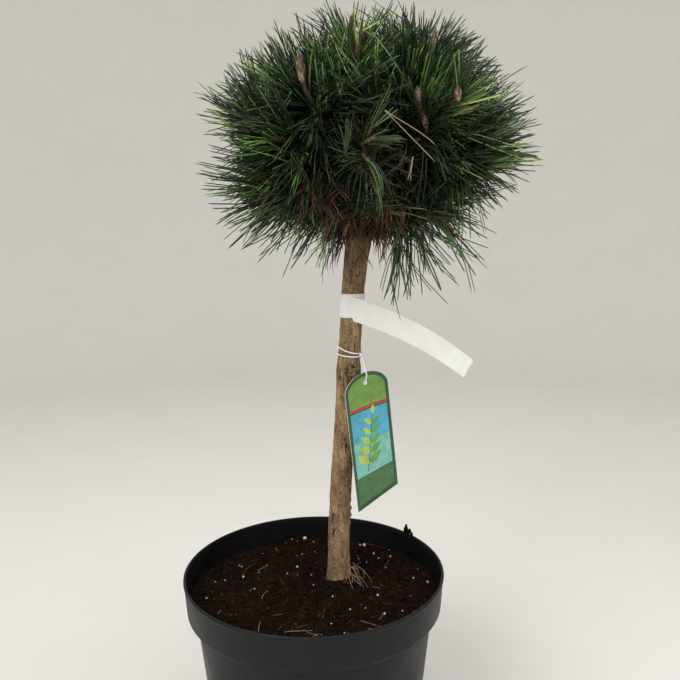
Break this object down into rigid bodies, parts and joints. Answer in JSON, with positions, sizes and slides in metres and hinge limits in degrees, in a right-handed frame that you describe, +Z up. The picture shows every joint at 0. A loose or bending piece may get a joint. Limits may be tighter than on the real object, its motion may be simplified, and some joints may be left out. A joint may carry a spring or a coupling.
{
  "type": "dwarf pine standard in a nursery pot",
  "caption": "Dwarf pine grafted on a slim leaning stem: a broad round crown of long needles over a round nursery pot of soil, with a blank strap label and a hanging care tag.",
  "frame": {"origin": "centre of the pot's flat underside", "axes": "+Z up; +X to the right of someone who looks along +Y at the side that the picture shows"},
  "size_m": [0.3738, 0.3143, 0.8176],
  "materials": {
    "pot": "semi-matte anthracite injection-moulded plastic with fine scratches",
    "soil": "moist dark peat with white perlite bits and pale fibres",
    "bark": "tan, finely cracked bark with dark specks",
    "twig": "dark red-brown scaly bark",
    "needles": "dark green needles with a slight waxy gloss",
    "label": "white synthetic paper, matte",
    "tag": "printed plastic card, satin gloss",
    "string": "thin white elastic string"
  },
  "bodies": {
    "root": {"pot": "pot", "soil": "soil", "trunk": "bark", "bough_top_left": "twig", "bough_left": "twig", "bough_low_left": "twig", "bough_hanging_left": "twig", "bough_top_middle": "twig", "bough_top_right": "twig", "bough_upper_right": "twig", "bough_right": "twig", "bough_low_right": "twig", "bough_hanging_right": "twig", "bough_front": "twig", "bough_upper_back_left": "twig", "bough_upper_back_right": "twig", "bough_low_back_left": "twig", "bough_low_back_right": "twig", "bough_back": "twig", "needles_top_left": "needles", "needles_left": "needles", "needles_low_left": "needles", "needles_hanging_left": "needles", "needles_top_middle": "needles", "needles_top_right": "needles", "needles_upper_right": "needles", "needles_right": "needles", "needles_low_right": "needles", "needles_hanging_right": "needles", "needles_front": "needles", "needles_upper_back_left": "needles", "needles_upper_back_right": "needles", "needles_low_back_left": "needles", "needles_low_back_right": "needles", "needles_back": "needles", "label_band": "label", "label_tail": "label", "care_tag": "tag", "tag_string": "string"}
  },
  "joints": []
}
